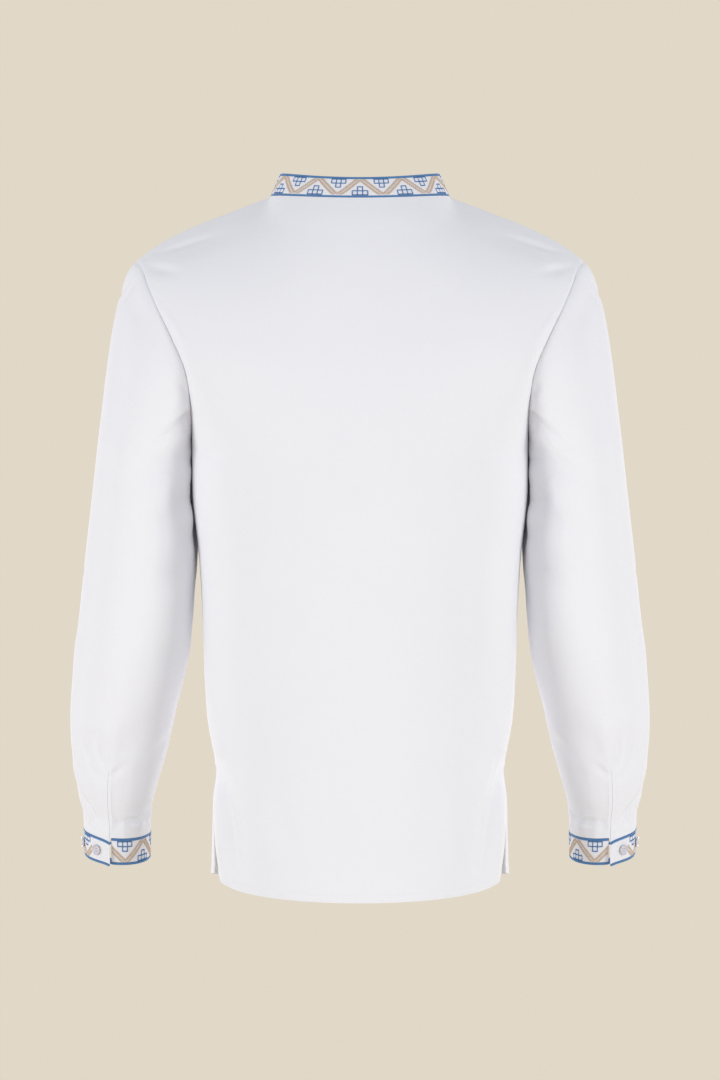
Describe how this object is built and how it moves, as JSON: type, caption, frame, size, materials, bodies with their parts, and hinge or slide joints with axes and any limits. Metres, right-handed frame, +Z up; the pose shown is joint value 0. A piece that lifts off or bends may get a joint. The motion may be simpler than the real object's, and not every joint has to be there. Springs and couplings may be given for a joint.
{
  "type": "embroidered shirt",
  "caption": "Long-sleeved white shirt with a standing embroidered collar band, embroidered cuffs, blue piping and a half placket, filled out as if worn.",
  "frame": {"origin": "middle of the neck opening, at the height of the points where the shoulders meet the neck", "axes": "+Z up, front towards -Y, wearer's left towards +X"},
  "size_m": [0.6246, 0.2692, 0.7627],
  "materials": {
    "white_cotton": "matt plain weave",
    "embroidered_band": "matt, counted-thread embroidery in light brown and blue",
    "blue_piping": "satin cord",
    "pearl_button": "pearl"
  },
  "bodies": {
    "root": {"back_panel": "white_cotton", "front_panel": "white_cotton", "placket_overlap": "white_cotton", "placket_underlap": "white_cotton", "sleeve_left": "white_cotton", "sleeve_right": "white_cotton", "vent_binding_left": "white_cotton", "vent_binding_right": "white_cotton", "collar_band": "embroidered_band", "cuff_left": "embroidered_band", "cuff_right": "embroidered_band", "collar_seam_piping": "blue_piping", "collar_top_piping": "blue_piping", "cuff_top_piping_left": "blue_piping", "cuff_foot_piping_left": "blue_piping", "cuff_top_piping_right": "blue_piping", "cuff_foot_piping_right": "blue_piping", "collar_button": "pearl_button", "placket_button_1": "pearl_button", "placket_button_2": "pearl_button", "placket_button_3": "pearl_button", "cuff_button_left_1": "pearl_button", "cuff_button_left_2": "pearl_button", "cuff_button_right_1": "pearl_button", "cuff_button_right_2": "pearl_button"}
  },
  "joints": []
}
